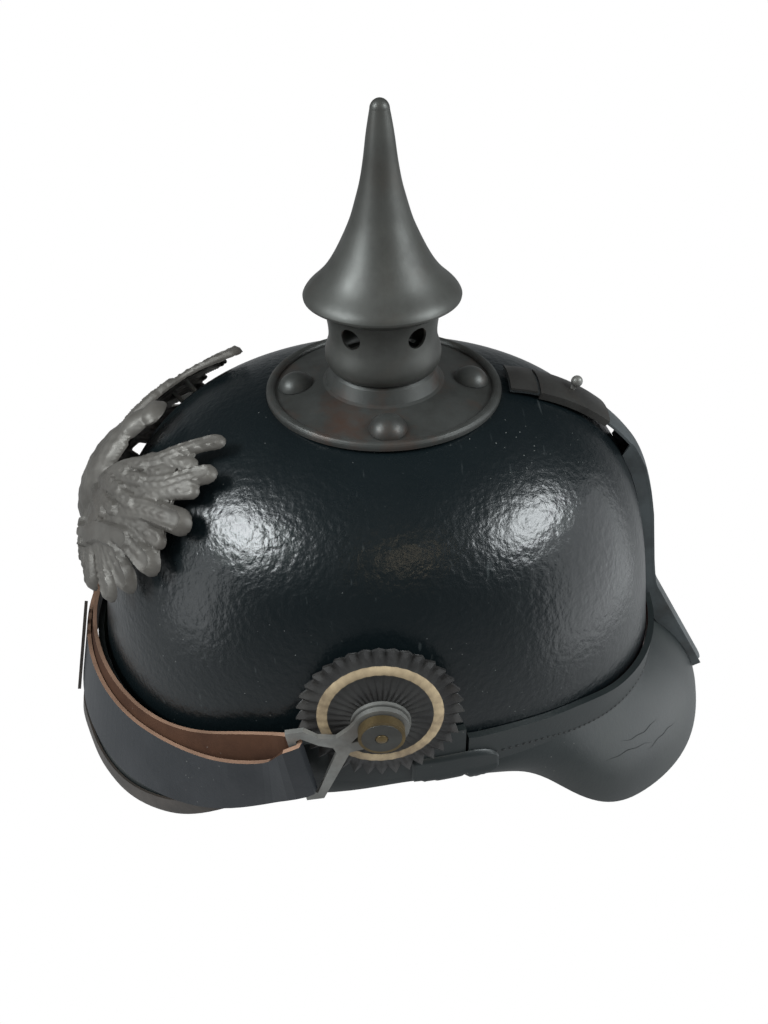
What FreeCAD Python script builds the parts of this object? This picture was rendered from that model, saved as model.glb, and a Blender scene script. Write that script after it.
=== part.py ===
import FreeCAD, Part
import math
import os
from FreeCAD import Vector

# Spiked leather helmet with steel fittings, millimetres, +Z up, front towards -Y.
# All shapes are drawn about the spike's axis, with height 0 at the crest of the base plate's bead,
# and each finished piece is then moved so that the helmet stands on the plane Z = 0.

# Stance
STAND_HEIGHT = 154.0          # base plate bead above the table
SPIKE_SHIFT_Y = -1.5          # spike axis behind the middle of the overall length

# Skull shell of moulded leather
SHELL_HALF_WIDTH = 91.0
SHELL_HALF_LENGTH = 97.1      # of the crown's oval, before its ends flare
FRONT_FLARE = 0.065           # share by which the front end has grown at the equator
REAR_FLARE = 0.14
SHELL_CENTRE_Y = -7.4         # middle of the lower opening, measured from the spike axis
CROWN_TOP = 0.0
EQUATOR = -98.0               # height of the widest section
SIDE_FULLNESS = 2.74          # exponent of the rounded profile seen from the front
END_FULLNESS = 3.1            # exponent of the rounded profile seen from the side
SHELL_WALL = 3.0
CROWN_HOLE_RADIUS = 12.0
SHELL_RIM = ((-125, -103), (-70, -100), (-42, -93), (0, -91.2), (30, -91.6), (57, -95.5), (83, -102),
             (125, -107.5))

# Visor and neck guard, sewn round the outside of the shell; their edges are laid out from this height up
FLAP_FLOOR = -153.0
FLAP_LEATHER = 2.2
SEAM_GAP = 0.25
BAND_BLEND = 5.5              # seam height above the equator from which the band follows the shell
SPLIT_ANGLE = 104.5           # from the front, where visor and guard meet
SPLIT_GAP_ANGLE = 0.25
# Outlines as (angle, value) pairs, the visor's from the front and the guard's from the rear
VISOR_BAND_TOP = ((0, -93), (45, -91), (62, -84), (75, -76), (88, -71.5), (105, -71.5))
VISOR_SEAM = ((0, -104), (30, -102), (50, -97), (65, -92.5), (81, -90.2), (105, -89))
VISOR_EDGE = ((0, 0), (8, 0.5), (15, 2), (22, 4.5), (30, 8), (38, 13), (47, 20.5), (55, 30), (62, 40.5),
              (70, 50.5), (75, 53), (82, 55.5), (88, 57.8), (94, 60), (105, 59.6))
VISOR_REACH = ((0, 22.0), (7, 18.7), (14, 15.2), (22, 12.4), (30, 10.2), (38, 8.4), (47, 6.6), (55, 5.6),
               (62, 4.7), (70, 3.4), (80, 2.45), (105, 2.45))
GUARD_BAND_TOP = ((0, -96), (20, -94), (36, -89.3), (53, -81.8), (67, -77.3), (76, -75.6))
GUARD_SEAM = ((0, -108.5), (20, -106.5), (37, -100.7), (48, -95.5), (56, -91.6), (76, -89))
GUARD_EDGE = ((0, 0), (12, 2), (27, 7), (40, 13.5), (47, 20), (54, 31.5), (59, 42), (63, 49), (67, 54.4),
              (76, 59.6))
GUARD_REACH = ((0, 33.8), (8, 30.8), (20, 25.8), (34, 19.3), (46, 13.8), (54, 7.5), (59, 3.9), (63, 2.6),
               (67, 2.45), (76, 2.45))
FLAP_STATIONS = 28
VISOR_BULGE = 0.05
GUARD_BULGE = 0.12

# Steel trim folded over the visor's edge
TRIM_STEEL = 0.9
TRIM_GAP = 0.25
TRIM_FACE = 7.0
TRIM_BACK = 5.0
TRIM_END_ANGLE = 71.0

# Base plate
PLATE_RADIUS = 39.6
BEAD_RADIUS = 1.6
PLATE_STEEL = 0.9
PLATE_RING_OUTER_Z = -1.8     # upper face beside the bead
PLATE_RING_INNER_Z = 1.0      # upper face beside the collar
COLLAR_FOOT_RADIUS = 19.4
COLLAR_TOP_RADIUS = 17.0
COLLAR_TOP_Z = 6.2
SOCKET_RADIUS = 14.6
PLATE_SKIRT = 2.5             # rim below the bead's crest
SEAT_GAP = 0.1

# Split-pin studs of the base plate
STUD_COUNT = 4
STUD_CIRCLE = 29.6
STUD_HEAD_RADIUS = 6.0
STUD_HEAD_HEIGHT = 4.2
STUD_HEAD_LIFT = 0.2
STUD_SHANK_RADIUS = 1.5
STUD_HOLE_GAP = 0.2
STUD_WASHER_RADIUS = 5.0
STUD_WASHER_THICKNESS = 0.8
PRONG_LENGTH = 8.0
PRONG_WIDTH = 2.4
PRONG_THICKNESS = 0.8

# Removable spike
SPIKE_TIP_Z = 87.4
SPIKE_FLARE_Z = 31.5
SPIKE_FLARE_RADIUS = 25.1
SPIKE_STEEL = 0.9
NECK_FOOT_GAP = 0.2
NECK_TOP_Z = 27.0
VENT_COUNT = 5
VENT_RADIUS = 3.5
VENT_Z = 22.2
VENT_FIRST_ANGLE = -37.0
SLEEVE_GAP = 0.35
SLEEVE_DROP = 9.0             # sleeve below the top of the collar
LUG_PIN_RADIUS = 1.1
LUG_PIN_REACH = 1.7
NOTCH_GAP = 0.3

# Rear spine with its ventilation slider
SPINE_ARC_CENTRE_Y = 34.0
SPINE_ARC_CENTRE_Z = -70.0
SPINE_ARC_RADIUS = 70.7
SPINE_START_ANGLE = 6.4
SPINE_ARC_END_ANGLE = 51.1
SPINE_DOWN_SHELL = ((94.0, -34.0), (98.1, -45.0), (101.0, -56.0), (103.2, -67.5), (105.2, -78.0))
SPINE_BEND = (108.2, -91.0)   # crest point where the spine leaves the shell
SPINE_END = (137.0, -139.5)   # crest point of its lower end
SPINE_HALF_WIDTH = 7.5
SPINE_STEEL = 0.8
SPINE_CROWNING = 1.2          # crest above the strip's two edges
SLIDER_START_ANGLE = 14.9
SLIDER_END_ANGLE = 37.6
SLIDER_STEEL = 0.6
SLIDER_GAP = 0.2
SLIDER_LIP = 2.0
KNOB_ANGLE = 25.4
KNOB_RADIUS = 2.0
HEAD_TAB_ANGLE = 14.0
HEAD_TAB_STEEL = 0.7

# Side posts with cockades
POST_Y = -6.0
POST_Z = -59.3
POST_SHANK_RADIUS = 2.5
POST_BOSS_RADIUS = 4.9
POST_FLANGE_RADIUS = 7.0
POST_FLANGE_THICKNESS = 0.8
POST_FIT_GAP = 0.2
COCKADE_RADIUS = 24.7
COCKADE_THICKNESS = 1.2
COCKADE_DISH = 2.6
COCKADE_TILT = 6.5            # top leaning in, foot resting out over the visor's band
COCKADE_HUB_ROOM = 0.75
COCKADE_TEETH = 36
COCKADE_TOOTH_DEPTH = 2.0
COLLAR_RADIUS = 8.8
COLLAR_THICKNESS = 1.1
CAP_RADIUS = 6.8
CAP_THICKNESS = 2.8
NUT_RADIUS = 5.0
NUT_THICKNESS = 2.6

# Chinstrap, worn up on the visor, and its two steel lugs
LUG_DROP = 32.0               # degrees by which the lugs point below the horizontal
STRAP_LEATHER = 1.4
STRAP_LAYER_GAP = 0.3
# Stations (angle from the front, offset and height of the top edge, offset and height of the bottom edge)
STRAP_INNER = ((10, 2.5, -87, 9.3, -111), (20, 2.5, -87, 9.3, -111), (30, 2.5, -87, 9.2, -111),
               (40, 2.5, -86.6, 9.0, -110), (50, 2.6, -84, 8.4, -107), (60, 2.7, -78, 7.3, -101),
               (67, 2.8, -72.5, 6.9, -96), (73, 3.3, -68.8, 6.6, -92))
STRAP_OUTER = ((73, 8.0, -75.5, 9.0, -95), (67, 7.4, -81, 9.6, -101), (60, 6.7, -85, 10.4, -107),
               (50, 5.8, -88.5, 11.3, -112), (40, 5.6, -90.8, 12.0, -115), (30, 5.6, -91.5, 12.3, -116),
               (20, 5.6, -91.5, 12.4, -116), (10, 5.6, -91.5, 12.4, -116), (0, 5.6, -91.5, 12.4, -116))
STRAP_JOINT_ANGLE = 0.15      # half the gap where the strap's two ends butt at the front
LUG_STEEL = 1.6
LUG_EYE_RADIUS = 8.2
LUG_BAR_TOP = (23.2, 12.6)    # bar ends, along and across the lug
LUG_BAR_FOOT = (35.4, -14.2)
LUG_BAR_WIDTH = 2.4
LUG_LAYER_GAP = 0.3
FOLD_ROOM = 0.5
STRAP_BAR_INSET = 3.2
STRAP_STEP = 4.0              # longest flat of the strap's curve
BUCKLE_HEIGHT = 34.0
BUCKLE_WIDTH = 14.0
BUCKLE_STEEL = 1.2
BUCKLE_BAR = 2.2
BUCKLE_ANGLE = 9.0            # of the buckles round the front

# Front plate, a displayed eagle, with the loops and wedges that hold it
EAGLE_STANDOFF = 3.6          # at the wings' outer edges
EAGLE_BREAST = 5.5            # further stand-off at its middle
EAGLE_BREAST_RISE = 0.45      # share of the shell's height above which the breast stands out fully
EAGLE_METAL = 0.8
LOOP_WIRE_RADIUS = 0.9
LOOP_HALF_GAP = 3.5
LOOP_X = 33.0
LOOP_Y = -73.0
LOOP_Z = -22.0
LOOP_DEPTH = 9.0              # yoke of the loop below the plate's loop point
WEDGE_THICKNESS = 3.4

# Liner
SWEATBAND_TOP = -66.0
SWEATBAND_BOTTOM = -95.5
SWEATBAND_LEATHER = 1.3
SWEATBAND_TOP_INSET = 11.0
SWEATBAND_BOTTOM_INSET = 4.2
TONGUE_COUNT = 9
TONGUE_LEATHER = 1.2
TONGUE_INSET = 11.0
TONGUE_START = -73.0
LINER_GAP = 0.3
TONGUE_GAP = 5.0
TONGUE_TIP_RADIUS = 30.0
DRAWSTRING_RADIUS = 1.1
DRAWSTRING_DROP = 1.4         # of the tongues below their crown at the cord's ring

LEFT_AND_RIGHT = (("left", 1), ("right", -1))
FAR = 200.0


def along(outline, angle):
    """Value of an outline at an angle, by a smooth curve that doesn't overshoot its points."""
    angle = min(max(abs(angle), outline[0][0]), outline[-1][0])
    slopes = [(q[1] - p[1]) / (q[0] - p[0]) for p, q in zip(outline, outline[1:])]
    tangents = [0.0]
    for before, after in zip(slopes, slopes[1:]):
        tangents.append(0.0 if before * after <= 0 else 2 * before * after / (before + after))
    tangents.append(slopes[-1])
    for i, (p, q) in enumerate(zip(outline, outline[1:])):
        if angle <= q[0]:
            break
    run = q[0] - p[0]
    t = (angle - p[0]) / run
    start = (2 * t - 3) * t * t + 1
    return (start * p[1] + (1 - start) * q[1] + (t - 1) ** 2 * t * run * tangents[i]
            + (t - 1) * t * t * run * tangents[i + 1])


def edge(start, end):
    return Part.makeLine(start, end)


def spline(points, start=None, end=None):
    curve = Part.BSplineCurve()
    if start is None:
        curve.interpolate(points)
    else:
        curve.interpolate(Points=points, InitialTangent=start, FinalTangent=end)
    return curve.toShape()


def closed_spline(points):
    curve = Part.BSplineCurve()
    curve.interpolate(Points=points, PeriodicFlag=True)
    return Part.Wire([curve.toShape()])


def polygon_face(points):
    return Part.Face(Part.makePolygon(points + [points[0]]))


def turned(profile):
    """Solid of revolution about the spike axis from (radius, height) points."""
    face = polygon_face([Vector(r, 0, z) for r, z in profile])
    return face.revolve(Vector(0, 0, 0), Vector(0, 0, 1), 360)


def turned_shell(outer, wall):
    """Thin turned wall: outer is a smooth (radius, height) curve, and the wall lies inside it."""
    inner = [(max(r - wall, 0.01), z) for r, z in outer]
    outer_edge = spline([Vector(r, 0, z) for r, z in outer])
    inner_edge = spline([Vector(r, 0, z) for r, z in inner])
    ends = [edge(Vector(a[0], 0, a[1]), Vector(b[0], 0, b[1])) for a, b in ((outer[0], inner[0]),
                                                                           (outer[-1], inner[-1]))]
    wire = Part.Wire(Part.__sortEdges__([outer_edge, inner_edge] + ends))
    return Part.Face(wire).revolve(Vector(0, 0, 0), Vector(0, 0, 1), 360)


def disc(radius, thickness, x, hole=0.0):
    """Round plate across the posts' axis, on the left side, from x outwards."""
    solid = Part.makeCylinder(radius, thickness, Vector(x, POST_Y, POST_Z), Vector(1, 0, 0))
    if hole > 0:
        solid = solid.cut(Part.makeCylinder(hole, thickness, Vector(x, POST_Y, POST_Z), Vector(1, 0, 0)))
    return solid


def mirrored(shape, side):
    if side > 0:
        return shape
    return shape.mirror(Vector(0, 0, 0), Vector(1, 0, 0))


def export(name, shape):
    placed = shape.copy()
    placed.translate(Vector(0, SPIKE_SHIFT_Y, STAND_HEIGHT))
    placed.exportStep("parts/" + name + ".step")
    print(name, len(placed.Solids), round(placed.Volume, 1), placed.isValid())


def flare(angle):
    """Growth of the oval's ends at the equator; the angle is in radians from the front."""
    return FRONT_FLARE if math.cos(angle) > 0 else REAR_FLARE


def oval(angle, rise, reach, offset=0.0):
    """Plan point of the shell at a share rise of the way from the equator to the crown."""
    end = SHELL_HALF_LENGTH * (1 + flare(angle) * (1 - rise) ** 2)
    return Vector((SHELL_HALF_WIDTH + offset) * reach * math.sin(angle),
                  SHELL_CENTRE_Y * (1 - rise) - (end + offset) * reach * math.cos(angle), 0)


def fullness(angle):
    return SIDE_FULLNESS + (END_FULLNESS - SIDE_FULLNESS) * math.cos(angle) ** 2


def wall_normal(angle):
    a = math.radians(angle)
    end = SHELL_HALF_LENGTH * (1 + flare(a))
    return Vector(math.sin(a) / SHELL_HALF_WIDTH, -math.cos(a) / end, 0).normalize()


def wall_point(angle, offset, height):
    """Point at a distance from the shell's widest section, angle in degrees from the front."""
    point = oval(math.radians(angle), 0.0, 1.0) + wall_normal(angle) * offset
    point.z = height
    return point


def wall_inset(angle, height):
    """How far the shell lies inside its widest section at a height."""
    rise = max((height - EQUATOR) / (CROWN_TOP - EQUATOR), 0.0)
    a = math.radians(angle)
    reach = (1 - rise ** fullness(a)) ** (1 / fullness(a))
    return (oval(a, 0.0, 1.0) - oval(a, rise, reach)).dot(wall_normal(angle))


def dome_ring(offset, slope, breast):
    """Closed ring round the dome, at slope degrees up from the equator, with its front pushed out by breast."""
    points = []
    for step in range(36):
        a = math.radians(10.0 * step)
        reach = math.cos(math.radians(slope)) ** (2 / fullness(a))
        rise = math.sin(math.radians(slope)) ** (2 / fullness(a))
        point = oval(a, rise, reach, offset)
        point.y -= breast * max(math.cos(a), 0.0) ** 6 * reach * min(rise / EAGLE_BREAST_RISE, 1.0) ** 1.5
        point.z = EQUATOR + (CROWN_TOP + offset - EQUATOR) * rise
        points.append(point)
    return closed_spline(points)


def level_ring(offset, height):
    points = []
    for step in range(36):
        point = oval(math.radians(10.0 * step), 0.0, 1.0, offset)
        point.z = height
        points.append(point)
    return closed_spline(points)


def crown_ring(offset):
    top = CROWN_TOP + offset
    points = [Vector(CROWN_HOLE_RADIUS * math.sin(math.radians(10 * step)),
                     -CROWN_HOLE_RADIUS * math.cos(math.radians(10 * step)), top) for step in range(36)]
    return closed_spline(points)


def dome(offset, bottom=-125.0, breast=0.0):
    """Oval dome of the skull, grown by offset, solid down to the height bottom."""
    equator = level_ring(offset, EQUATOR)
    rings = [crown_ring(offset)]
    rings += [dome_ring(offset, slope, breast) for slope in (80, 72, 63, 54, 45, 36, 27, 18, 9, 3)]
    upper = Part.makeLoft(rings + [equator], True, False)
    return upper.fuse(Part.makeLoft([equator, level_ring(offset, bottom)], True, True))


def below_rim():
    """Everything under the shell's wavy lower rim."""
    curve = spline([Vector(-FAR, y, z) for y, z in SHELL_RIM])
    front, rear = SHELL_RIM[0], SHELL_RIM[-1]
    corners = [Vector(-FAR, rear[0], rear[1]), Vector(-FAR, rear[0], -FAR),
               Vector(-FAR, front[0], -FAR), Vector(-FAR, front[0], front[1])]
    edges = [curve] + [edge(a, b) for a, b in zip(corners, corners[1:])]
    return Part.Face(Part.Wire(edges)).extrude(Vector(2 * FAR, 0, 0))


def flap_outline(angle, rear):
    """Outer profile of visor or guard at an angle: top, seam, middle and edge, as (offset, height)."""
    lowest = FLAP_FLOOR
    if rear:
        outlines = (GUARD_BAND_TOP, GUARD_SEAM, GUARD_EDGE, GUARD_REACH)
        bulge = GUARD_BULGE
    else:
        outlines = (VISOR_BAND_TOP, VISOR_SEAM, VISOR_EDGE, VISOR_REACH)
        bulge = VISOR_BULGE
        lowest += TRIM_STEEL + TRIM_GAP
    wall = SEAM_GAP + FLAP_LEATHER
    top, seam, edge_rise, reach = [along(outline, angle) for outline in outlines]
    seam_point = (wall, seam)
    edge_point = (reach, lowest + edge_rise)
    run = (edge_point[0] - wall, edge_point[1] - seam_point[1])
    middle = (wall + 0.5 * run[0] - bulge * run[1] * 0.8, seam_point[1] + 0.5 * run[1] + bulge * run[0] * 0.8)
    plan_angle = 180.0 - angle if rear else angle
    following = min(max((seam - EQUATOR) / BAND_BLEND, 0.0), 1.0)
    return [(wall - wall_inset(plan_angle, top) * following, top), seam_point, middle, edge_point]


def flap_normals(outline):
    """Unit normals (offset, height) of the profile at its four points."""
    normals = []
    for i, point in enumerate(outline):
        before = outline[max(i - 1, 0)]
        after = outline[min(i + 1, 3)]
        if i == 0:
            before = point
        run = (after[0] - before[0], after[1] - before[1])
        length = math.hypot(*run)
        normals.append((-run[1] / length, run[0] / length))
    return normals


def flap_section(angle, rear):
    outline = flap_outline(angle, rear)
    normals = flap_normals(outline)
    plan_angle = 180.0 - angle if rear else angle
    outer = [wall_point(plan_angle, o, z) for o, z in outline]
    inner = [wall_point(plan_angle, o - n[0] * FLAP_LEATHER, z - n[1] * FLAP_LEATHER)
             for (o, z), n in zip(outline, normals)]
    return Part.Wire([edge(inner[0], outer[0]), edge(outer[0], outer[1]), spline(outer[1:]),
                      edge(outer[3], inner[3]), spline(inner[:0:-1]), edge(inner[1], inner[0])])


def flap_stations(limit):
    return [-limit + 2 * limit * i / FLAP_STATIONS for i in range(FLAP_STATIONS + 1)]


def make_flap(rear):
    if rear:
        limit = 180.0 - SPLIT_ANGLE - SPLIT_GAP_ANGLE
    else:
        limit = SPLIT_ANGLE - SPLIT_GAP_ANGLE
    return Part.makeLoft([flap_section(a, rear) for a in flap_stations(limit)], True, False)


def trim_section(angle):
    """Folded strip over the visor's edge: face, fold and back."""
    outline = flap_outline(angle, False)
    profile = spline([Vector(o, 0, z) for o, z in outline[1:]])

    def at(outwards, upwards):
        """Point off the leather's outer surface, at a length up along it from its edge."""
        parameter = profile.getParameterByLength(profile.Length - max(upwards, 0.0))
        down = profile.tangentAt(parameter)
        point = profile.valueAt(parameter) + down * max(-upwards, 0.0) + Vector(-down.z, 0, down.x) * outwards
        return wall_point(angle, point.x, point.z)

    face_in = TRIM_GAP
    face_out = TRIM_GAP + TRIM_STEEL
    back_out = -FLAP_LEATHER - TRIM_GAP
    back_in = back_out - TRIM_STEEL
    low = -TRIM_GAP - TRIM_STEEL
    corners = [at(face_out, TRIM_FACE), at(face_out, TRIM_FACE / 2), at(face_out, low), at(back_in, low),
               at(back_in, TRIM_BACK), at(back_out, TRIM_BACK), at(back_out, -TRIM_GAP),
               at(face_in, -TRIM_GAP), at(face_in, TRIM_FACE / 2), at(face_in, TRIM_FACE)]
    return Part.makePolygon(corners + [corners[0]])


def make_trim():
    stations = [a for a in flap_stations(SPLIT_ANGLE - SPLIT_GAP_ANGLE) if abs(a) < TRIM_END_ANGLE - 1.0]
    angles = [-TRIM_END_ANGLE] + stations + [TRIM_END_ANGLE]
    return Part.makeLoft([trim_section(a) for a in angles], True, False)


def stud_places():
    for i in range(STUD_COUNT):
        a = 2 * math.pi * i / STUD_COUNT
        yield i, Vector(STUD_CIRCLE * math.cos(a), STUD_CIRCLE * math.sin(a), 0), math.degrees(a)


def plate_top_at(radius):
    share = (PLATE_RADIUS - 2 * BEAD_RADIUS - radius) / (PLATE_RADIUS - 2 * BEAD_RADIUS - COLLAR_FOOT_RADIUS)
    return PLATE_RING_OUTER_Z + (PLATE_RING_INNER_Z - PLATE_RING_OUTER_Z) * share


def plate_underside(gap):
    """Filled turned shape under which the shell must stay."""
    ring = PLATE_RADIUS - 2 * BEAD_RADIUS
    low = PLATE_STEEL + gap
    return turned([(0, PLATE_RING_INNER_Z - low), (COLLAR_FOOT_RADIUS - PLATE_STEEL, PLATE_RING_INNER_Z - low),
                   (ring, PLATE_RING_OUTER_Z - low), (ring, -PLATE_SKIRT - gap),
                   (PLATE_RADIUS + gap, -PLATE_SKIRT - gap), (PLATE_RADIUS + gap, 30), (0, 30)])


def make_base_plate():
    ring = PLATE_RADIUS - 2 * BEAD_RADIUS
    low = PLATE_STEEL
    bead = [(ring + BEAD_RADIUS + BEAD_RADIUS * math.cos(math.radians(a)),
             -BEAD_RADIUS + BEAD_RADIUS * math.sin(math.radians(a))) for a in range(0, 181, 20)]
    profile = [(ring, -PLATE_SKIRT), (PLATE_RADIUS, -PLATE_SKIRT)] + bead
    profile += [(ring, PLATE_RING_OUTER_Z), (COLLAR_FOOT_RADIUS + 1.0, PLATE_RING_INNER_Z),
                (COLLAR_FOOT_RADIUS, PLATE_RING_INNER_Z + 0.6), (COLLAR_TOP_RADIUS + 0.5, COLLAR_TOP_Z - 0.8),
                (COLLAR_TOP_RADIUS - 0.4, COLLAR_TOP_Z), (SOCKET_RADIUS, COLLAR_TOP_Z),
                (SOCKET_RADIUS, COLLAR_TOP_Z - 1.6), (COLLAR_TOP_RADIUS - 0.8, COLLAR_TOP_Z - 1.8),
                (COLLAR_FOOT_RADIUS - low, PLATE_RING_INNER_Z - low), (ring, PLATE_RING_OUTER_Z - low)]
    plate = turned(profile)
    for i, place, angle in stud_places():
        hole = Part.makeCylinder(STUD_SHANK_RADIUS + STUD_HOLE_GAP, 20, place - Vector(0, 0, 10))
        plate = plate.cut(hole)
    width = 2 * (LUG_PIN_RADIUS + NOTCH_GAP)
    notch = Part.makeBox(width, 2 * (SOCKET_RADIUS + LUG_PIN_REACH), 10,
                         Vector(-width / 2, -SOCKET_RADIUS - LUG_PIN_REACH, COLLAR_TOP_Z - 5))
    return plate.cut(notch)


def make_studs():
    """Domed heads whose split shanks are bent apart inside the crown."""
    studs = []
    washers = []
    inside = CROWN_TOP - SHELL_WALL - 3.4
    for i, place, angle in stud_places():
        seat = plate_top_at(STUD_CIRCLE) + STUD_HEAD_LIFT
        sphere_radius = (STUD_HEAD_RADIUS ** 2 + STUD_HEAD_HEIGHT ** 2) / (2 * STUD_HEAD_HEIGHT)
        centre = place + Vector(0, 0, seat + STUD_HEAD_HEIGHT - sphere_radius)
        head = Part.makeSphere(sphere_radius, centre)
        head = head.common(Part.makeCylinder(STUD_HEAD_RADIUS, STUD_HEAD_HEIGHT + 1, place + Vector(0, 0, seat)))
        lean = math.degrees(math.atan(plate_top_at(STUD_CIRCLE - 1) - plate_top_at(STUD_CIRCLE)))
        head.rotate(place + Vector(0, 0, seat), Vector(-place.y, place.x, 0), lean)
        low = inside - STUD_WASHER_THICKNESS
        shank = Part.makeCylinder(STUD_SHANK_RADIUS, seat - low + PRONG_THICKNESS,
                                  place + Vector(0, 0, low - PRONG_THICKNESS))
        prongs = Part.makeBox(2 * PRONG_LENGTH, PRONG_WIDTH, PRONG_THICKNESS,
                              place + Vector(-PRONG_LENGTH, -PRONG_WIDTH / 2, low - PRONG_THICKNESS))
        prongs.rotate(place, Vector(0, 0, 1), angle + 90)
        studs.append(head.fuse(shank).fuse(prongs).removeSplitter())
        washer = Part.makeCylinder(STUD_WASHER_RADIUS, STUD_WASHER_THICKNESS, place + Vector(0, 0, low))
        washers.append(washer.cut(Part.makeCylinder(STUD_SHANK_RADIUS + STUD_HOLE_GAP, 10,
                                                    place + Vector(0, 0, low - 1))))
    return studs, washers


def make_spike():
    cone = [(SPIKE_FLARE_RADIUS, SPIKE_FLARE_Z), (24.3, 32.9), (22.0, 35.2), (19.2, 37.8), (15.3, 43.0),
            (11.4, 50.3), (9.3, 55.1), (7.8, 59.8), (6.4, 64.6), (5.5, 68.9), (4.8, 73.2), (4.2, 77.5),
            (3.6, 81.0), (2.9, 84.5)]
    nose_radius = 2.9
    nose = Part.makeSphere(nose_radius, Vector(0, 0, SPIKE_TIP_Z - nose_radius))
    neck_top = 19.0
    under = turned([(SPIKE_FLARE_RADIUS, SPIKE_FLARE_Z), (SPIKE_FLARE_RADIUS - 0.1, SPIKE_FLARE_Z - 0.7),
                    (neck_top, NECK_TOP_Z), (neck_top - 2.0, NECK_TOP_Z), (neck_top - 1.2, NECK_TOP_Z + 0.8),
                    (SPIKE_FLARE_RADIUS - SPIKE_STEEL, SPIKE_FLARE_Z)])
    point = turned_shell(cone, SPIKE_STEEL).fuse(nose).fuse(under)

    foot = COLLAR_TOP_Z + NECK_FOOT_GAP
    outer = [(16.6, foot), (18.4, foot + 1.8), (19.1, foot + 5.0), (18.7, foot + 7.6), (17.8, foot + 10.4),
             (17.6, foot + 13.0), (18.0, foot + 17.0), (18.7, NECK_TOP_Z - 0.1)]
    neck = turned_shell(outer, SPIKE_STEEL)
    floor = turned([(SOCKET_RADIUS - SLEEVE_GAP, foot), (16.6, foot), (16.6, foot + 1.0),
                    (SOCKET_RADIUS - SLEEVE_GAP, foot + 1.0)])
    neck = neck.fuse(floor)
    for i in range(VENT_COUNT):
        a = math.radians(VENT_FIRST_ANGLE + 360.0 * i / VENT_COUNT)
        outwards = Vector(math.cos(a), math.sin(a), 0)
        neck = neck.cut(Part.makeCylinder(VENT_RADIUS, 30, Vector(0, 0, VENT_Z), outwards))

    sleeve_radius = SOCKET_RADIUS - SLEEVE_GAP
    low = COLLAR_TOP_Z - SLEEVE_DROP
    sleeve = turned([(sleeve_radius, low), (sleeve_radius, foot + 1.0), (sleeve_radius - 1.0, foot + 1.0),
                     (sleeve_radius - 1.0, low)])
    pin_length = 2 * (sleeve_radius + LUG_PIN_REACH)
    pin = Part.makeCylinder(LUG_PIN_RADIUS, pin_length, Vector(0, -pin_length / 2, low + 2.0), Vector(0, 1, 0))
    pin = pin.cut(Part.makeCylinder(sleeve_radius - 1.0, 10, Vector(0, 0, low - 2)))
    return point, neck, sleeve.fuse(pin)


def spine_arc_point(angle, radius):
    a = math.radians(angle)
    return Vector(0, SPINE_ARC_CENTRE_Y + radius * math.sin(a), SPINE_ARC_CENTRE_Z + radius * math.cos(a))


def bowed_section(centre, outwards, half_width, crowning, thickness):
    """Closed section of a crowned strip: its crest touches centre, and outwards points off the helmet."""
    def at(x, depth):
        return centre + Vector(x, 0, 0) - outwards * depth

    upper = Part.Arc(at(-half_width, crowning), at(0, 0), at(half_width, crowning)).toShape()
    lower = Part.Arc(at(half_width, crowning + thickness), at(0, thickness),
                     at(-half_width, crowning + thickness)).toShape()
    return Part.Wire([upper, edge(at(half_width, crowning), at(half_width, crowning + thickness)), lower,
                      edge(at(-half_width, crowning + thickness), at(-half_width, crowning))])


def swept_about_arc(section, angle):
    face = Part.Face(section)
    return face.revolve(Vector(0, SPINE_ARC_CENTRE_Y, SPINE_ARC_CENTRE_Z), Vector(-1, 0, 0), angle)


def make_spine():
    start = spine_arc_point(SPINE_START_ANGLE, SPINE_ARC_RADIUS)
    middle = spine_arc_point(0.5 * (SPINE_START_ANGLE + SPINE_ARC_END_ANGLE), SPINE_ARC_RADIUS)
    end = spine_arc_point(SPINE_ARC_END_ANGLE, SPINE_ARC_RADIUS)
    a = math.radians(SPINE_ARC_END_ANGLE)
    leaving = Vector(0, math.cos(a), -math.sin(a))
    bend = Vector(0, *SPINE_BEND)
    tip = Vector(0, *SPINE_END)
    final = (tip - bend).normalize()
    knee = bend + final * 6.0
    shoulder = bend + Vector(0, -1.4, 6.0)
    falling = Vector(0, 0.2, -1.0)
    down_shell = spline([end] + [Vector(0, y, z) for y, z in SPINE_DOWN_SHELL] + [shoulder], leaving, falling)
    elbow = spline([shoulder, knee], falling * 6, final * 6)
    path = Part.Wire([Part.Arc(start, middle, end).toShape(), down_shell, elbow, edge(knee, tip)])
    outwards = Vector(0, math.sin(math.radians(SPINE_START_ANGLE)), math.cos(math.radians(SPINE_START_ANGLE)))
    section = bowed_section(start, outwards, SPINE_HALF_WIDTH, SPINE_CROWNING, SPINE_STEEL)
    strip = path.makePipeShell([section], True, False)
    side = Vector(0, -final.z, final.y)
    rounding = Part.makeCylinder(SPINE_HALF_WIDTH, 60, tip - final * SPINE_HALF_WIDTH - side * 30, side)
    straight = Part.makeBox(4 * SPINE_HALF_WIDTH, 2 * FAR, 2 * FAR, Vector(-2 * SPINE_HALF_WIDTH, -FAR, 0))
    straight.translate(Vector(0, 0, tip.z + SPINE_HALF_WIDTH * -final.z))
    return strip.common(straight.fuse(rounding))


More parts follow.
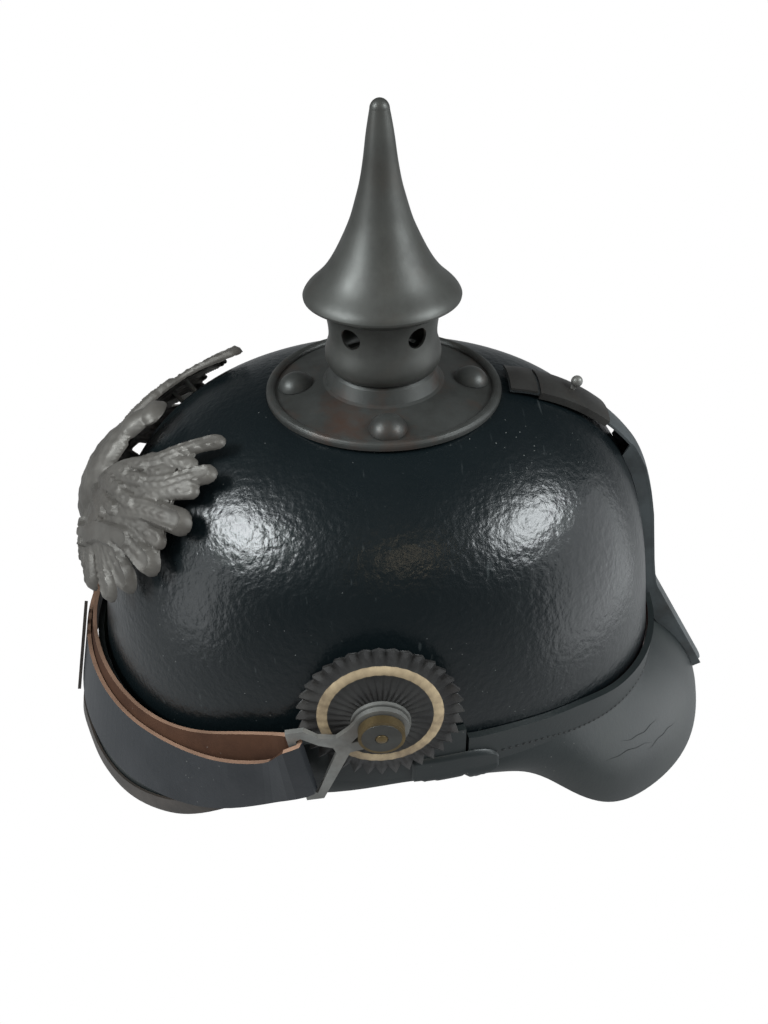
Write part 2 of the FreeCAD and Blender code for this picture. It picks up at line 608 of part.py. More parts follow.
def make_slider():
    """Sleeve round the spine, with lips under the spine's two edges."""
    start = spine_arc_point(SLIDER_START_ANGLE, SPINE_ARC_RADIUS + SLIDER_GAP + SLIDER_STEEL)
    a = math.radians(SLIDER_START_ANGLE)
    outwards = Vector(0, math.sin(a), math.cos(a))
    half = SPINE_HALF_WIDTH + SLIDER_GAP + SLIDER_STEEL
    crowning = SPINE_CROWNING
    depth = crowning + SLIDER_STEEL + 2 * SLIDER_GAP + SPINE_STEEL

    def at(x, down):
        return start + Vector(x, 0, 0) - outwards * down

    inner = half - SLIDER_STEEL
    lip = inner - SLIDER_LIP
    bottom = depth + SLIDER_STEEL
    upper = Part.Arc(at(-half, crowning), at(0, 0), at(half, crowning)).toShape()
    lower = Part.Arc(at(inner, crowning + SLIDER_STEEL), at(0, SLIDER_STEEL),
                     at(-inner, crowning + SLIDER_STEEL)).toShape()
    right = [at(half, crowning), at(half, bottom), at(lip, bottom), at(lip, depth), at(inner, depth),
             at(inner, crowning + SLIDER_STEEL)]
    left = [Vector(-p.x, p.y, p.z) for p in reversed(right)]
    edges = [upper] + [edge(p, q) for p, q in zip(right, right[1:])]
    edges += [lower] + [edge(p, q) for p, q in zip(left, left[1:])]
    sleeve = swept_about_arc(Part.Wire(edges), SLIDER_END_ANGLE - SLIDER_START_ANGLE)
    foot = spine_arc_point(KNOB_ANGLE, SPINE_ARC_RADIUS + SLIDER_GAP + SLIDER_STEEL)
    a = math.radians(KNOB_ANGLE)
    up = Vector(0, math.sin(a), math.cos(a))
    knob = Part.makeCylinder(0.5 * KNOB_RADIUS, 1.4, foot, up)
    knob = knob.fuse(Part.makeSphere(KNOB_RADIUS, foot + up * (0.9 + KNOB_RADIUS)))
    return sleeve, knob


def make_head_tab():
    """Rounded tab that ties the spine's front end to the base plate."""
    radius = SPINE_ARC_RADIUS + SLIDER_GAP
    start = spine_arc_point(SPINE_START_ANGLE, radius + HEAD_TAB_STEEL)
    a = math.radians(SPINE_START_ANGLE)
    outwards = Vector(0, math.sin(a), math.cos(a))
    section = bowed_section(start, outwards, SPINE_HALF_WIDTH + 0.6, SPINE_CROWNING, HEAD_TAB_STEEL)
    tab = swept_about_arc(section, HEAD_TAB_ANGLE - SPINE_START_ANGLE)
    return tab.cut(Part.makeCylinder(PLATE_RADIUS + 0.3, 40, Vector(0, 0, -20)))


def shell_half_width_at(z):
    return SHELL_HALF_WIDTH - wall_inset(90.0, z)


# Stations along the posts' axis, from the shell outwards
WALL_X = shell_half_width_at(POST_Z)
FLANGE_X = WALL_X + 1.3
COCKADE_X = FLANGE_X + POST_FLANGE_THICKNESS + 0.1
COLLAR_X = COCKADE_X + COCKADE_DISH + COCKADE_THICKNESS + COCKADE_HUB_ROOM
LUG_X = COLLAR_X + COLLAR_THICKNESS + LUG_LAYER_GAP
CAP_X = LUG_X + LUG_STEEL + LUG_LAYER_GAP
NUT_X = WALL_X - SHELL_WALL - 1.4 - NUT_THICKNESS


def make_post():
    shank_start = NUT_X - 1.0
    shank = disc(POST_SHANK_RADIUS, FLANGE_X - shank_start, shank_start)
    flange = disc(POST_FLANGE_RADIUS, POST_FLANGE_THICKNESS, FLANGE_X)
    boss = disc(POST_BOSS_RADIUS, CAP_X - FLANGE_X, FLANGE_X)
    return shank.fuse([flange, boss]).removeSplitter()


def make_cockade():
    """Dished toothed rosette, thicker at the hub than at the teeth."""
    points = []
    for i in range(2 * COCKADE_TEETH):
        a = math.pi * i / COCKADE_TEETH
        radius = COCKADE_RADIUS - (COCKADE_TOOTH_DEPTH if i % 2 else 0)
        points.append(Vector(0, radius * math.cos(a), radius * math.sin(a)))
    teeth = polygon_face(points).extrude(Vector(COCKADE_DISH + COCKADE_THICKNESS, 0, 0))
    inner = POST_BOSS_RADIUS + 2 * POST_FIT_GAP
    outer = COCKADE_RADIUS + 1
    profile = [(COCKADE_DISH, inner), (0.4, outer), (0.4 + COCKADE_THICKNESS, outer),
               (COCKADE_DISH + COCKADE_THICKNESS, inner)]
    face = polygon_face([Vector(x, r, 0) for x, r in profile])
    dish = face.revolve(Vector(0, 0, 0), Vector(1, 0, 0), 360)
    rosette = dish.common(teeth)
    rosette.rotate(Vector(COCKADE_DISH, 0, 0), Vector(0, 1, 0), -COCKADE_TILT)
    rosette.translate(Vector(COCKADE_X, POST_Y, POST_Z))
    return rosette


def lug_place(u, w):
    """Point of the lug in its plane: u runs forward and down from the posts' axis, w across it."""
    a = math.radians(LUG_DROP)
    return Vector(LUG_X, POST_Y - u * math.cos(a) - w * math.sin(a), POST_Z - u * math.sin(a) + w * math.cos(a))


def lug_plate(outline):
    return polygon_face([lug_place(u, w) for u, w in outline]).extrude(Vector(LUG_STEEL, 0, 0))


def make_lug():
    """Steel lug: an eye on the post, and a forked end whose bar carries the strap."""
    top, foot = LUG_BAR_TOP, LUG_BAR_FOOT
    length = math.hypot(foot[0] - top[0], foot[1] - top[1])
    across = ((foot[1] - top[1]) / length, -(foot[0] - top[0]) / length)
    half = LUG_BAR_WIDTH / 2

    def beside(point, distance, along_bar):
        unit = ((foot[0] - top[0]) / length, (foot[1] - top[1]) / length)
        return (point[0] - across[0] * distance + unit[0] * along_bar,
                point[1] - across[1] * distance + unit[1] * along_bar)

    outline = [(1, 8.0), (8, 5.2), (13, 4.2), (17, 7.5), beside(top, -half - 3.0, -1.6), beside(top, half, -1.6),
               beside(foot, half, 1.6), beside(foot, -half - 3.0, 1.6), (19, -7.8), (13, -3.4), (8, -4.8), (1, -8.0)]
    window = [(16.0, 1.2), (18.8, 4.6), beside(top, -half - 1.6, 1.4), beside(top, -half, 2.2),
              beside(foot, -half, -2.2), beside(foot, -half - 1.6, -1.4), (20.5, -4.6), (16.5, -1.4)]
    keyhole = [(4.0, 2.6), (10.5, 0), (4.0, -2.6)]
    eye = disc(LUG_EYE_RADIUS, LUG_STEEL, LUG_X)
    hole = disc(POST_BOSS_RADIUS + POST_FIT_GAP, LUG_STEEL, LUG_X)
    lug = eye.fuse(lug_plate(outline)).removeSplitter()
    return lug.cut(lug_plate(window).fuse(lug_plate(keyhole)).fuse(hole))


def bar_edges(around, inset):
    """Top and bottom points of the strap's fold round the lug's bar; around is 0 outside, 180 inside."""
    a = math.radians(around)
    room = LUG_STEEL / 2 + LUG_LAYER_GAP + STRAP_LEATHER / 2 + FOLD_ROOM
    points = []
    for end, other in ((LUG_BAR_TOP, LUG_BAR_FOOT), (LUG_BAR_FOOT, LUG_BAR_TOP)):
        length = math.hypot(other[0] - end[0], other[1] - end[1])
        share = inset / length
        place = lug_place(end[0] + (other[0] - end[0]) * share, end[1] + (other[1] - end[1]) * share)
        points.append(place + Vector(LUG_STEEL / 2 + room * math.cos(a), room * math.sin(a), 0))
    return points


def strap_edges():
    """Pairs of top and bottom points along the strap's middle layer, from its front joint round and back."""
    def station(values):
        angle, top_offset, top, bottom_offset, bottom = values
        return [wall_point(angle, top_offset, top), wall_point(angle, bottom_offset, bottom)]

    first = (STRAP_JOINT_ANGLE,) + STRAP_INNER[0][1:]
    half = [station(values) for values in (first,) + STRAP_INNER]
    half += [bar_edges(around, STRAP_BAR_INSET) for around in (180, 135, 90, 45, 0)]
    half += [station(values) for values in STRAP_OUTER]
    other = [[Vector(-p.x, p.y, p.z) for p in pair] for pair in reversed(half[:-1])]
    return half + other


def make_strap():
    """Leather band that runs from lug to lug, folded back on itself at each lug."""
    pairs = strap_edges()
    middles = [(top + bottom) * 0.5 for top, bottom in pairs]
    places = [0.0]
    for here, there in zip(middles, middles[1:]):
        places.append(places[-1] + (there - here).Length)
    stations = [places[-1]]
    for here, there in zip(places, places[1:]):
        count = math.ceil((there - here) / STRAP_STEP)
        stations += [here + (there - here) * i / count for i in range(count)]
    top_edge, bottom_edge = Part.BSplineCurve(), Part.BSplineCurve()
    top_edge.interpolate(Points=[pair[0] for pair in pairs], Parameters=places)
    bottom_edge.interpolate(Points=[pair[1] for pair in pairs], Parameters=places)
    sections = []
    for station in sorted(stations):
        top, bottom = top_edge.value(station), bottom_edge.value(station)
        run = top_edge.tangent(station)[0] + bottom_edge.tangent(station)[0]
        half = run.cross(top - bottom).normalize() * (STRAP_LEATHER / 2)
        corners = [top + half, top - half, bottom - half, bottom + half]
        sections.append(Part.makePolygon(corners + [corners[0]]))
    return Part.makeLoft(sections, True, True)


def make_buckle(side):
    """Flat sliding frame with a middle bar, on the strap's outer layer beside the front."""
    angle = BUCKLE_ANGLE * side
    top_offset, top, bottom_offset, bottom = STRAP_OUTER[-1][1:]
    head = wall_point(angle, top_offset, top)
    foot = wall_point(angle, bottom_offset, bottom)
    up = (head - foot).normalize()
    sideways = (wall_point(angle + 1, top_offset, top) - wall_point(angle - 1, top_offset, top)).normalize()
    outwards = sideways.cross(up).normalize()
    if outwards.y > 0:
        outwards = -outwards
    half = BUCKLE_HEIGHT / 2
    frame = Part.makeBox(BUCKLE_WIDTH, BUCKLE_HEIGHT, BUCKLE_STEEL, Vector(-BUCKLE_WIDTH / 2, -half, 0))
    window = (BUCKLE_WIDTH - 3 * BUCKLE_BAR) / 2
    for start in (-BUCKLE_WIDTH / 2 + BUCKLE_BAR, BUCKLE_BAR / 2):
        frame = frame.cut(Part.makeBox(window, BUCKLE_HEIGHT - 2 * BUCKLE_BAR, BUCKLE_STEEL,
                                       Vector(start, -half + BUCKLE_BAR, 0)))
    frame.Placement = FreeCAD.Placement(Vector(0, 0, 0), FreeCAD.Rotation(sideways, up, outwards, "ZXY"))
    frame.translate((head + foot) * 0.5 + outwards * (STRAP_LEATHER / 2 + 0.35))
    return frame


def eagle_outline():
    """Half outline of the displayed eagle as (x, height) across a plane that leans back 45 degrees."""
    return [(0, -59), (6, -60), (7.5, -66), (5.5, -72), (9, -80), (11, -86), (13.5, -76), (19, -66), (24, -60),
            (25, -52), (23.5, -43), (26, -37.5), (31, -38.5), (34, -44), (40, -43.5), (41.5, -50), (48, -52),
            (51, -58), (55, -66), (55.5, -74), (53, -79), (54.5, -87), (51, -94), (46, -100), (40, -103),
            (34, -109.5), (27, -110), (22, -114), (15, -113), (12, -121), (17, -128), (12, -133), (5, -131),
            (0, -137)]


def front_skin():
    """Thin skin standing off the shell's front, between the plate's back and its face."""
    outside = dome(EAGLE_STANDOFF + EAGLE_METAL, breast=EAGLE_BREAST)
    return outside.cut(dome(EAGLE_STANDOFF, breast=EAGLE_BREAST))


def make_eagle():
    lean = Vector(0, -1, 1).normalize()
    up = Vector(0, 1, 1).normalize()
    half = [Vector(x, 0, 0) + up * h + lean * 10 for x, h in eagle_outline()]
    other = [Vector(-p.x, p.y, p.z) for p in reversed(half[1:-1])]
    prism = polygon_face(half + other).extrude(lean * 140)
    return front_skin().common(prism)


def loop_axis(side):
    return Vector(side * 0.42, -0.62, 0.66).normalize()


def loop_legs(side, radius):
    """The two legs of the wire loop behind one wing, long enough to pass the shell."""
    across = Vector(0, 0.66, 0.62).normalize()
    centre = Vector(side * LOOP_X, LOOP_Y, LOOP_Z)
    legs = []
    for step in (-1, 1):
        start = centre + across * (step * LOOP_HALF_GAP) - loop_axis(side) * LOOP_DEPTH
        legs.append(Part.makeCylinder(radius, 40.0, start, loop_axis(side)))
    return legs


def make_loops(inside, plate_back):
    """Wire loops soldered to the plate, and the leather wedges pushed through them inside the shell."""
    loops = []
    wedges = []
    for name, side in LEFT_AND_RIGHT:
        axis = loop_axis(side)
        centre = Vector(side * LOOP_X, LOOP_Y, LOOP_Z)
        across = Vector(0, 0.66, 0.62).normalize()
        legs = [leg.common(plate_back) for leg in loop_legs(side, LOOP_WIRE_RADIUS)]
        start = centre - across * (LOOP_HALF_GAP + LOOP_WIRE_RADIUS) - axis * LOOP_DEPTH
        yoke = Part.makeCylinder(LOOP_WIRE_RADIUS, 2 * (LOOP_HALF_GAP + LOOP_WIRE_RADIUS), start, across)
        loops.append(legs[0].fuse([legs[1], yoke]))
        long_way = across.cross(axis)
        width = 2 * (LOOP_HALF_GAP - LOOP_WIRE_RADIUS) - 0.4
        wedge = Part.makeBox(22.0, width, WEDGE_THICKNESS)
        placement = FreeCAD.Placement(Vector(0, 0, 0), FreeCAD.Rotation(long_way, across, axis, "XYZ"))
        wedge.Placement = placement
        wedge.translate(centre - long_way * 11.0 - across * (width / 2) - axis * (LOOP_DEPTH - LOOP_WIRE_RADIUS - 0.2))
        wedges.append(wedge.common(inside))
    return loops, wedges


def make_sweatband():
    def ring(inset, height):
        return level_ring(-inset, height)

    outer = Part.makeLoft([ring(SWEATBAND_BOTTOM_INSET, SWEATBAND_BOTTOM), ring(SWEATBAND_TOP_INSET, SWEATBAND_TOP)],
                          True, True)
    thick = SWEATBAND_LEATHER
    inner = Part.makeLoft([ring(SWEATBAND_BOTTOM_INSET + thick, SWEATBAND_BOTTOM - 0.01),
                           ring(SWEATBAND_TOP_INSET + thick, SWEATBAND_TOP + 0.01)], True, True)
    return outer.cut(inner)


def sweatband_face(height):
    """How far the sweatband's inner face lies inside the shell's widest section."""
    share = (height - SWEATBAND_BOTTOM) / (SWEATBAND_TOP - SWEATBAND_BOTTOM)
    return SWEATBAND_BOTTOM_INSET + (SWEATBAND_TOP_INSET - SWEATBAND_BOTTOM_INSET) * share + SWEATBAND_LEATHER


def tongue_dome(depth):
    """Solid under the tongues, which start on the sweatband's inner face and follow the shell above it."""
    rings = [crown_ring(-TONGUE_INSET - depth)]
    rings += [dome_ring(-TONGUE_INSET - depth, slope, 0.0) for slope in (80, 72, 63, 54, 45, 36, 27, 18)]
    foot, start = [level_ring(-sweatband_face(z) - LINER_GAP - depth, z) for z in (SWEATBAND_TOP, TONGUE_START)]
    return Part.makeLoft(rings + [foot], True, False).fuse(Part.makeLoft([foot, start], True, True))


def tongue_skin():
    return tongue_dome(0.0).cut(tongue_dome(TONGUE_LEATHER))


def make_tongues():
    """Fingers of the liner, from the sweatband up towards the crown."""
    skin = tongue_skin()
    tongues = []
    for i in range(TONGUE_COUNT):
        angle = math.radians(360.0 * (i + 0.5) / TONGUE_COUNT)
        half = math.pi / TONGUE_COUNT
        outline = []
        for radius, share in ((TONGUE_TIP_RADIUS, 0.55), (TONGUE_TIP_RADIUS + 9, 0.9), (140, 1.0)):
            width = radius * math.tan(half) * share - TONGUE_GAP / 2
            outline.append((radius, width))
        left = [Vector(r * math.cos(angle) - w * math.sin(angle), r * math.sin(angle) + w * math.cos(angle),
                       TONGUE_START) for r, w in outline]
        right = [Vector(r * math.cos(angle) + w * math.sin(angle), r * math.sin(angle) - w * math.cos(angle),
                        TONGUE_START) for r, w in outline]
        prism = polygon_face(left + right[::-1]).extrude(Vector(0, 0, -TONGUE_START))
        tongues.append(skin.common(prism))
    return tongues


def make_drawstring():
    """Cord drawn round above the tongues' tips."""
    ring_radius = TONGUE_TIP_RADIUS + 7.0
    height = CROWN_TOP - TONGUE_INSET - DRAWSTRING_DROP
    return Part.makeTorus(ring_radius, DRAWSTRING_RADIUS, Vector(0, 0, height + DRAWSTRING_RADIUS + LINER_GAP))


def main():
    os.makedirs("parts", exist_ok=True)
    outside = dome(0.0)
    inside = dome(-SHELL_WALL)
    shell = outside.cut(inside).cut(below_rim()).cut(plate_underside(SEAT_GAP))
    for i, place, angle in stud_places():
        shell = shell.cut(Part.makeCylinder(STUD_SHANK_RADIUS + STUD_HOLE_GAP, 40, place - Vector(0, 0, 30)))
    shell = shell.cut(Part.makeCylinder(SOCKET_RADIUS + LUG_PIN_REACH, 40, Vector(0, 0, -30)))
    for name, side in LEFT_AND_RIGHT:
        shell = shell.cut(mirrored(disc(POST_SHANK_RADIUS + POST_FIT_GAP, 30, WALL_X - 20), side))
        for leg in loop_legs(side, LOOP_WIRE_RADIUS + 0.2):
            shell = shell.cut(leg)
    export("skull_shell", shell)
    export("front_visor", make_flap(False))
    guard = make_flap(True)
    export("neck_guard", guard)
    export("visor_trim", make_trim())
    export("base_plate", make_base_plate())
    studs, washers = make_studs()
    export("base_studs", Part.makeCompound(studs))
    export("stud_washers", Part.makeCompound(washers))
    point, neck, sleeve = make_spike()
    export("spike_point", point)
    export("spike_neck", neck)
    export("spike_sleeve", sleeve)
    export("rear_spine", make_spine())
    slider, knob = make_slider()
    export("vent_slider", slider)
    export("slider_knob", knob)
    export("spine_head", make_head_tab())
    eagle = make_eagle()
    export("eagle_plate", eagle)
    loops, wedges = make_loops(inside, dome(EAGLE_STANDOFF - 0.02, breast=EAGLE_BREAST))
    export("plate_loops", Part.makeCompound(loops))
    export("plate_wedges", Part.makeCompound(wedges))
    export("sweatband", make_sweatband())
    export("liner_tongues", Part.makeCompound(make_tongues()))
    export("drawstring", make_drawstring())
    for name, side in LEFT_AND_RIGHT:
        export("side_post_" + name, mirrored(make_post(), side))
        nut = disc(NUT_RADIUS, NUT_THICKNESS, NUT_X, POST_SHANK_RADIUS + 0.05)
        export("post_nut_" + name, mirrored(nut, side))
        export("cockade_" + name, mirrored(make_cockade(), side))
        collar = disc(COLLAR_RADIUS, COLLAR_THICKNESS, COLLAR_X, POST_BOSS_RADIUS + POST_FIT_GAP)
        export("post_collar_" + name, mirrored(collar, side))
        export("post_cap_" + name, mirrored(disc(CAP_RADIUS, CAP_THICKNESS, CAP_X), side))
        export("chinstrap_lug_" + name, mirrored(make_lug(), side))
        export("strap_buckle_" + name, make_buckle(side))
    export("chinstrap", make_strap())


main()
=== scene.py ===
import math

import bmesh
import bpy
from mathutils import Euler, Matrix, Vector
from mathutils.bvhtree import BVHTree


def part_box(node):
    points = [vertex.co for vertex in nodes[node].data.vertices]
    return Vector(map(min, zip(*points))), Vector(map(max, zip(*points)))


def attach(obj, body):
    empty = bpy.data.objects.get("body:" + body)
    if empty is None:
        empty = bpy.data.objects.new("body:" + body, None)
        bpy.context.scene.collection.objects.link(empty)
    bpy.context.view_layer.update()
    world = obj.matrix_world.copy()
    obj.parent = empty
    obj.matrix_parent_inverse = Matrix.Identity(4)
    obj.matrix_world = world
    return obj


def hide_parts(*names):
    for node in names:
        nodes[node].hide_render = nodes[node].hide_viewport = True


# Spiked leather helmet. Metres, Z up, front towards -Y. Sizes below are in millimetres about the spike's axis,
# with height 0 at the base plate's bead; at() turns them into the frame's metres.
SHIFT_Y = -1.5      # of the spike's axis in the frame
STAND = 154.0       # height of the bead over the ground
MM = 0.001
SHELL = dict(width=91.0, length=97.1, front=0.065, rear=0.14, centre=-7.4, equator=-98.0, side=2.74, end=3.1)
POST = (-6.0, -59.3)        # y and height of the side posts' axis
PHOTO_HEIGHT = 1024.0
FOCAL_PIXELS = 850.0
SENSOR = 36.0


def at(x, y, z):
    return Vector((x, y + SHIFT_Y, z + STAND)) * MM


# Camera

scene = bpy.context.scene
scene.view_settings.view_transform = "Standard"


def direction(azimuth, elevation):
    """Unit vector away from the part, by degrees round from the front and up."""
    a, e = math.radians(azimuth), math.radians(elevation)
    return Vector((math.sin(a) * math.cos(e), -math.cos(a) * math.cos(e), math.sin(e)))


def make_camera(target, azimuth, elevation, roll, distance):
    back, r = direction(azimuth, elevation), math.radians(roll)
    right = (-back).cross(Vector((0, 0, 1))).normalized()
    up = right.cross(-back)
    side = right * math.cos(r) + up * math.sin(r)
    top = up * math.cos(r) - right * math.sin(r)
    camera = bpy.data.objects.new("camera", bpy.data.cameras.new("camera"))
    scene.collection.objects.link(camera)
    matrix = Matrix((side, top, back)).transposed().to_4x4()
    matrix.translation = target + back * distance
    camera.matrix_world = matrix
    camera.data.sensor_width = SENSOR
    camera.data.lens = SENSOR * FOCAL_PIXELS / PHOTO_HEIGHT
    camera.data.clip_start = 0.01
    camera.data.clip_end = 20.0
    scene.camera = camera


make_camera(at(0, 0, -55.7) + Vector((0, -0.0006, 0)), 87.9, 37.4, -0.93, 0.320)
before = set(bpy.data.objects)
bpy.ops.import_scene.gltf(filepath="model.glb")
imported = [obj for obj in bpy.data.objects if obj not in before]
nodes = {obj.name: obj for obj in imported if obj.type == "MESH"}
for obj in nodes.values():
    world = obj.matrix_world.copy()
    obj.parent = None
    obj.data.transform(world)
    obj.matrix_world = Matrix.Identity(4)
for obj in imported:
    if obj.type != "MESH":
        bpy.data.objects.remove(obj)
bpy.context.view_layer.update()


# Materials

class Paint:
    """Node material built round one principled shader."""

    def __init__(self, name, color, rough, metal=0.0, specular=0.5):
        self.material = bpy.data.materials.new(name)
        self.material.use_nodes = True
        self.tree = self.material.node_tree
        self.shader = self.tree.nodes["Principled BSDF"]
        self.put("Base Color", (*color, 1.0))
        self.put("Roughness", rough)
        self.put("Metallic", metal)
        self.put("Specular IOR Level", specular)
        self.place = self.tree.nodes.new("ShaderNodeTexCoord").outputs["Object"]
        self.height = None

    def put(self, socket, value):
        self.shader.inputs[socket].default_value = value

    def node(self, kind, inputs, **settings):
        made = self.tree.nodes.new(kind)
        for key, value in settings.items():
            setattr(made, key, value)
        for key, value in inputs.items():
            if isinstance(value, bpy.types.NodeSocket):
                self.tree.links.new(value, made.inputs[key])
            else:
                made.inputs[key].default_value = value
        return made

    def noise(self, scale, detail=4.0, stretch=(1, 1, 1), rough=0.55):
        mapped = self.node("ShaderNodeMapping", {"Vector": self.place, "Scale": stretch})
        return self.node("ShaderNodeTexNoise", {"Vector": mapped.outputs[0], "Scale": scale,
                                                "Detail": detail, "Roughness": rough}).outputs[0]

    def dust(self, scale, size, patches, share, color):
        """Small round spots of a colour, in patches."""
        cells = self.node("ShaderNodeTexVoronoi", {"Vector": self.place, "Scale": scale})
        spots = self.span(cells.outputs["Distance"], size, size * 0.6)
        self.tint(self.math("MULTIPLY", spots, self.span(self.noise(patches, 3), 0.54, 0.64, 0, share)), color)

    def span(self, value, low, high, to_low=0.0, to_high=1.0):
        inputs = {0: value, 1: low, 2: high, 3: to_low, 4: to_high}
        return self.node("ShaderNodeMapRange", inputs).outputs[0]

    def math(self, operation, a, b):
        return self.node("ShaderNodeMath", {0: a, 1: b}, operation=operation).outputs[0]

    def tint(self, share, color):
        """Mixes a colour into the base colour by a share socket."""
        mix = self.node("ShaderNodeMix", {0: share}, data_type="RGBA")
        before = self.shader.inputs["Base Color"]
        if before.is_linked:
            self.tree.links.new(before.links[0].from_socket, mix.inputs[6])
        else:
            mix.inputs[6].default_value = before.default_value
        mix.inputs[7].default_value = (*color, 1.0)
        self.tree.links.new(mix.outputs[2], before)

    def roughen(self, share, low, high):
        self.tree.links.new(self.span(share, 0, 1, low, high), self.shader.inputs["Roughness"])

    def bump(self, height, distance, strength=1.0):
        made = self.node("ShaderNodeBump", {"Height": height, "Distance": distance, "Strength": strength})
        if self.height is not None:
            self.tree.links.new(self.height, made.inputs["Normal"])
        self.height = made.outputs[0]
        self.tree.links.new(self.height, self.shader.inputs["Normal"])


def steel(name, color, dark, rust, rough=0.42, metal=0.75, rust_share=0.25):
    paint = Paint(name, color, rough, metal)
    mottle = paint.noise(55, 6, rough=0.65)
    paint.tint(paint.span(mottle, 0.40, 0.66), dark)
    stains = paint.span(paint.noise(38, 8, rough=0.7), 0.52, 0.70)
    paint.tint(paint.math("MULTIPLY", stains, rust_share), rust)
    paint.roughen(mottle, rough - 0.10, rough + 0.16)
    paint.bump(paint.noise(900, 3), 0.00005, 0.35)
    return paint.material


def lacquer():
    paint = Paint("shell_lacquer", (0.0018, 0.0036, 0.0044), 0.3, specular=0.45)
    broad = paint.noise(16, 5)
    paint.tint(paint.span(broad, 0.45, 0.75, 0, 0.5), (0.0048, 0.0075, 0.0085))
    paint.roughen(paint.noise(22, 6), 0.19, 0.37)
    scratches = paint.span(paint.noise(26, 3, (1.5, 22, 7), 0.4), 0.70, 0.76, 0, 0.5)
    paint.tint(scratches, (0.022, 0.027, 0.028))
    paint.dust(430, 0.085, 45, 0.7, (0.16, 0.17, 0.165))
    paint.bump(paint.noise(430, 2.5, rough=0.5), 0.0003, 0.8)
    paint.bump(paint.noise(60, 3), 0.0012, 0.08)
    return paint.material


def leather(name, color, second, rough, grain=0.3, specular=0.4):
    paint = Paint(name, color, rough, specular=specular)
    mottle = paint.noise(28, 6, rough=0.6)
    paint.tint(paint.span(mottle, 0.42, 0.68), second)
    paint.roughen(mottle, rough - 0.08, rough + 0.12)
    paint.dust(360, 0.09, 40, 0.6, (0.16, 0.16, 0.15))
    paint.bump(paint.noise(800, 4, rough=0.6), 0.00012, grain)
    return paint.material


SHELL_PAINT = lacquer()
FLAP = leather("flap_leather", (0.0075, 0.0105, 0.011), (0.015, 0.0185, 0.018), 0.38, 0.35)
SPIKE = steel("spike_steel", (0.052, 0.054, 0.050), (0.034, 0.035, 0.032),
              (0.042, 0.028, 0.02), 0.42, 0.5)
RUSTY = steel("plate_rust", (0.042, 0.045, 0.043), (0.026, 0.027, 0.025),
              (0.05, 0.026, 0.017), 0.40, 0.5, 0.75)
EAGLE = steel("eagle_steel", (0.085, 0.081, 0.073), (0.050, 0.047, 0.042),
              (0.055, 0.04, 0.03), 0.50, 0.45, 0.2)
SPINE = steel("spine_steel", (0.058, 0.069, 0.073), (0.034, 0.040, 0.042),
              (0.045, 0.035, 0.025), 0.42, 0.5, 0.3)
SLIDER = steel("slider_steel", (0.032, 0.032, 0.030), (0.019, 0.018, 0.017),
               (0.04, 0.028, 0.02), 0.38, 0.5, 0.4)
TRIM = steel("trim_steel", (0.048, 0.040, 0.034), (0.028, 0.025, 0.022),
             (0.045, 0.03, 0.02), 0.46, 0.4, 0.4)
BRIGHT = steel("bright_steel", (0.20, 0.205, 0.195), (0.11, 0.112, 0.106),
               (0.09, 0.065, 0.045), 0.38, 0.55, 0.3)
BLACKED = steel("cockade_black", (0.014, 0.014, 0.014), (0.026, 0.026, 0.025),
                (0.03, 0.022, 0.018), 0.44, 0.2, 0.3)
CREAM = steel("cockade_cream", (0.26, 0.205, 0.125), (0.12, 0.09, 0.052),
              (0.07, 0.045, 0.028), 0.6, 0.0, 0.8)
BRASS = steel("brass_rim", (0.20, 0.145, 0.065), (0.10, 0.075, 0.038),
              (0.06, 0.04, 0.025), 0.38, 0.8, 0.2)
STRAP = leather("strap_outside", (0.0085, 0.0105, 0.013), (0.019, 0.021, 0.024), 0.44, 0.6)
FLESH = leather("strap_flesh", (0.045, 0.022, 0.013), (0.020, 0.010, 0.007), 0.9, 1.0, 0.1)
TAN_EDGE = leather("strap_edge", (0.17, 0.105, 0.072), (0.075, 0.045, 0.031), 0.75, 1.0, 0.15)
TAN = leather("liner_leather", (0.33, 0.19, 0.10), (0.24, 0.13, 0.07), 0.6, 0.4)
CORD = leather("cord_flax", (0.45, 0.38, 0.27), (0.35, 0.28, 0.19), 0.85, 0.8, 0.1)
THREAD = leather("black_thread", (0.010, 0.011, 0.011), (0.016, 0.016, 0.016), 0.6, 0.3)
GREEN = leather("visor_green", (0.035, 0.075, 0.045), (0.025, 0.055, 0.033), 0.4, 0.3)
REDLAC = leather("guard_red", (0.19, 0.028, 0.018), (0.13, 0.02, 0.014), 0.35, 0.3)

LOOKS = {
    "skull_shell": SHELL_PAINT, "front_visor": FLAP, "neck_guard": FLAP, "visor_trim": TRIM,
    "base_plate": RUSTY, "base_studs": RUSTY, "stud_washers": BRIGHT,
    "spike_point": SPIKE, "spike_neck": SPIKE, "spike_sleeve": BRIGHT,
    "rear_spine": SPINE, "vent_slider": SLIDER, "slider_knob": BRIGHT, "spine_head": SLIDER,
    "eagle_plate": EAGLE, "plate_loops": BRIGHT, "plate_wedges": TAN,
    "sweatband": TAN, "liner_tongues": TAN, "drawstring": CORD, "chinstrap": STRAP,
}
for side in ("left", "right"):
    LOOKS.update({"side_post_" + side: SPIKE, "post_nut_" + side: BRIGHT, "cockade_" + side: BLACKED,
                  "post_collar_" + side: BRIGHT, "post_cap_" + side: BRASS,
                  "chinstrap_lug_" + side: BRIGHT, "strap_buckle_" + side: TRIM})


def smooth(obj, angle=35.0):
    for face in obj.data.polygons:
        face.use_smooth = True
    split = obj.modifiers.new("creases", "EDGE_SPLIT")
    split.split_angle = math.radians(angle)


for name, obj in nodes.items():
    obj.data.materials.clear()
    obj.data.materials.append(LOOKS[name])
    smooth(obj)


